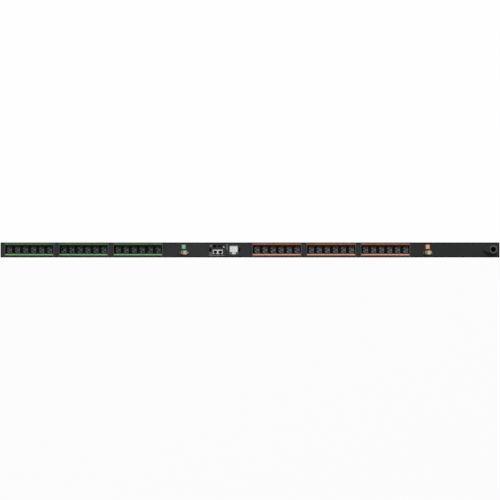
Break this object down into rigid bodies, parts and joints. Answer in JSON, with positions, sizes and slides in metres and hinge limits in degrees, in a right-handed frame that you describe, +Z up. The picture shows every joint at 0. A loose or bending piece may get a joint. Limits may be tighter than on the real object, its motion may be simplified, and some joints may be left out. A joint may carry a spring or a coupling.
{
  "type": "rack power distribution unit",
  "caption": "Long bar-shaped power distribution unit for a rack, with banks of sockets, breakers, a controller with a display and a cord entry.",
  "frame": {"origin": "middle of the underside, the long side that it rests on as pictured", "axes": "+X along the bar towards the cord entry, -Y out of the outlet face, +Z up"},
  "size_m": [1.829, 0.0715, 0.055],
  "materials": {
    "chassis_paint": "fine satin powder coat, charcoal",
    "steel": "plated steel",
    "tray_plastic": "moulded, fine texture, black",
    "core_plastic": "moulded, fine texture, dark grey",
    "green_plastic": "moulded, satin, grey-green",
    "orange_plastic": "moulded, satin, dull orange",
    "contact_brass": "stamped brass",
    "breaker_plastic": "moulded, dark grey",
    "rocker_plastic": "moulded, smooth, ivory",
    "label_green": "printed, light green",
    "label_orange": "printed, light orange",
    "fascia_plastic": "moulded, fine texture, charcoal",
    "board_green": "solder mask",
    "jack_metal": "tinned steel shell",
    "jack_black": "moulded, black",
    "display_face": "lit liquid-crystal face",
    "display_lens": "clear window",
    "light_lens": "smoked lens, unlit",
    "switch_plastic": "moulded, black",
    "key_grey": "moulded, grey",
    "key_white": "moulded, off-white",
    "boss_plastic": "satin charcoal",
    "gland_rubber": "moulded rubber, black",
    "nut_plastic": "moulded, black",
    "terminal_plastic": "moulded, beige"
  },
  "bodies": {
    "chassis": {"front_channel": "chassis_paint", "rear_cover": "chassis_paint", "end_cap_left": "chassis_paint", "end_cap_right": "chassis_paint", "mounting_buttons": "steel", "outlet_tray_1": "tray_plastic", "outlet_cores_1": "core_plastic", "colour_rails_1": "green_plastic", "outlet_tray_2": "tray_plastic", "outlet_cores_2": "core_plastic", "colour_rails_2": "green_plastic", "outlet_tray_3": "tray_plastic", "outlet_cores_3": "core_plastic", "colour_rails_3": "green_plastic", "outlet_tray_4": "tray_plastic", "outlet_cores_4": "core_plastic", "colour_rails_4": "orange_plastic", "outlet_tray_5": "tray_plastic", "outlet_cores_5": "core_plastic", "colour_rails_5": "orange_plastic", "outlet_tray_6": "tray_plastic", "outlet_cores_6": "core_plastic", "colour_rails_6": "orange_plastic", "line_strip_1": "contact_brass", "neutral_strip_1": "contact_brass", "earth_strip_1": "contact_brass", "line_strip_2": "contact_brass", "neutral_strip_2": "contact_brass", "earth_strip_2": "contact_brass", "breaker_body_1": "breaker_plastic", "breaker_label_1": "label_green", "breaker_body_2": "breaker_plastic", "breaker_label_2": "label_orange", "controller_fascia": "fascia_plastic", "controller_board": "board_green", "board_screws": "steel", "network_jack": "jack_metal", "sensor_jack": "jack_black", "usb_port": "jack_metal", "display_panel": "display_face", "display_window": "display_lens", "status_light": "light_lens", "tact_switches": "switch_plastic", "cord_boss": "boss_plastic", "cord_gland": "gland_rubber", "gland_nut": "nut_plastic", "terminal_block": "terminal_plastic"},
    "rocker_1": {"breaker_rocker_1": "rocker_plastic"},
    "rocker_2": {"breaker_rocker_2": "rocker_plastic"},
    "key_left": {"button_left": "key_grey"},
    "key_centre": {"button_centre": "key_white"},
    "key_right": {"button_right": "key_grey"},
    "key_reset": {"reset_button": "key_white"}
  },
  "joints": [
    {"name": "breaker_1_toggle", "type": "hinge", "parent": "chassis", "child": "rocker_1", "pos_m": [-0.243, -0.025, 0.018], "axis": [0, 0, 1], "range_deg": [-16, 0]},
    {"name": "breaker_2_toggle", "type": "hinge", "parent": "chassis", "child": "rocker_2", "pos_m": [0.6515, -0.025, 0.018], "axis": [0, 0, 1], "range_deg": [-16, 0]},
    {"name": "key_left_press", "type": "slide", "parent": "chassis", "child": "key_left", "axis": [0, 1, 0], "range_m": [0, 0.0008], "stiffness_N_per_m": 400, "springref_m": -0.0015},
    {"name": "key_centre_press", "type": "slide", "parent": "chassis", "child": "key_centre", "axis": [0, 1, 0], "range_m": [0, 0.0008], "stiffness_N_per_m": 400, "springref_m": -0.0015},
    {"name": "key_right_press", "type": "slide", "parent": "chassis", "child": "key_right", "axis": [0, 1, 0], "range_m": [0, 0.0008], "stiffness_N_per_m": 400, "springref_m": -0.0015},
    {"name": "key_reset_press", "type": "slide", "parent": "chassis", "child": "key_reset", "axis": [0, 1, 0], "range_m": [0, 0.0008], "stiffness_N_per_m": 400, "springref_m": -0.0015}
  ]
}
